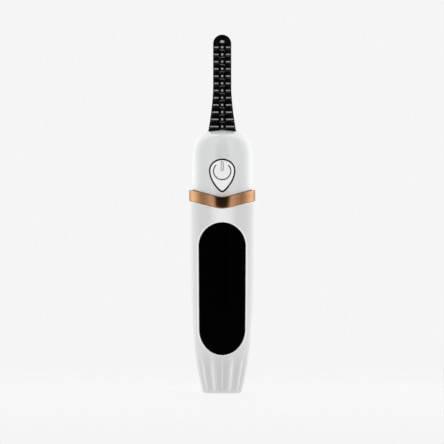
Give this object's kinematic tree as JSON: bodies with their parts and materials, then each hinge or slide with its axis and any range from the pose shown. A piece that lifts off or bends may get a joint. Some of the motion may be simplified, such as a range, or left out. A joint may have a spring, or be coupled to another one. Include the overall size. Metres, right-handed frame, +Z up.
{
  "type": "heated eyelash curler",
  "caption": "Rechargeable heated eyelash curler: slim handle with a display window, ring-trimmed head with a power key, and a curved heated comb.",
  "frame": {"origin": "centre of the flat foot, where the handle stands on a surface", "axes": "+Z up along the handle to the comb's tip; -Y is the front, where the window, the key and the comb's fins face; +X is to the right seen from the front"},
  "size_m": [0.0238, 0.0214, 0.129],
  "materials": {
    "white_gloss": "high gloss white lacquer",
    "rose_gold": "rose gold anodised, brushed round the ring",
    "black_lens": "piano black, polished",
    "heat_black": "heat-proof black, satin",
    "ceramic": "grey ceramic",
    "rubber": "black elastomer",
    "wire": "bare",
    "lead_white": "insulated lead",
    "lead_red": "insulated lead",
    "lead_black": "insulated lead",
    "frame": "moulded, fine texture",
    "circuit": "solder mask",
    "component": "moulded",
    "steel": "plated steel",
    "cell": "shrink-wrapped lithium cell",
    "display": "segment display, smoked"
  },
  "bodies": {
    "housing": {"handle_housing": "white_gloss", "head_housing": "white_gloss", "trim_band": "rose_gold", "display_lens": "black_lens", "comb_front": "heat_black", "comb_back": "heat_black", "heater_rail": "ceramic", "joint_seal": "rubber", "button_seal": "rubber", "battery_pad": "rubber", "heating_wire": "wire", "display_ribbon": "wire", "sensor_cable": "lead_white", "heater_lead_left": "lead_red", "charge_lead_left": "lead_red", "battery_lead_positive": "lead_red", "heater_lead_right": "lead_black", "charge_lead_right": "lead_black", "battery_lead_negative": "lead_black", "inner_frame": "frame", "comb_mount": "frame", "display_backlight": "frame", "main_board": "circuit", "charge_board": "circuit", "controller_chip": "component", "heater_transistor": "component", "charge_chip": "component", "heat_sensor": "component", "usb_tongue": "component", "switch_body": "steel", "comb_screw_left": "steel", "comb_screw_right": "steel", "mount_screw_left": "steel", "mount_screw_right": "steel", "board_screw_left": "steel", "board_screw_right": "steel", "battery_tab_positive": "steel", "battery_tab_negative": "steel", "usb_shell": "steel", "battery_cell": "cell", "display_glass": "display"},
    "button": {"power_button": "white_gloss"},
    "plunger": {"switch_plunger": "component"}
  },
  "joints": [
    {"name": "button_press", "type": "slide", "parent": "housing", "child": "button", "axis": [0, 1, 0], "range_m": [0, 0.0005], "stiffness_N_per_m": 600},
    {"name": "switch_press", "type": "slide", "parent": "housing", "child": "plunger", "axis": [0, 1, 0], "range_m": [0, 0.0005]}
  ],
  "couplings": [
    {"joint": "switch_press", "follows": "button_press", "ratio": 1}
  ]
}
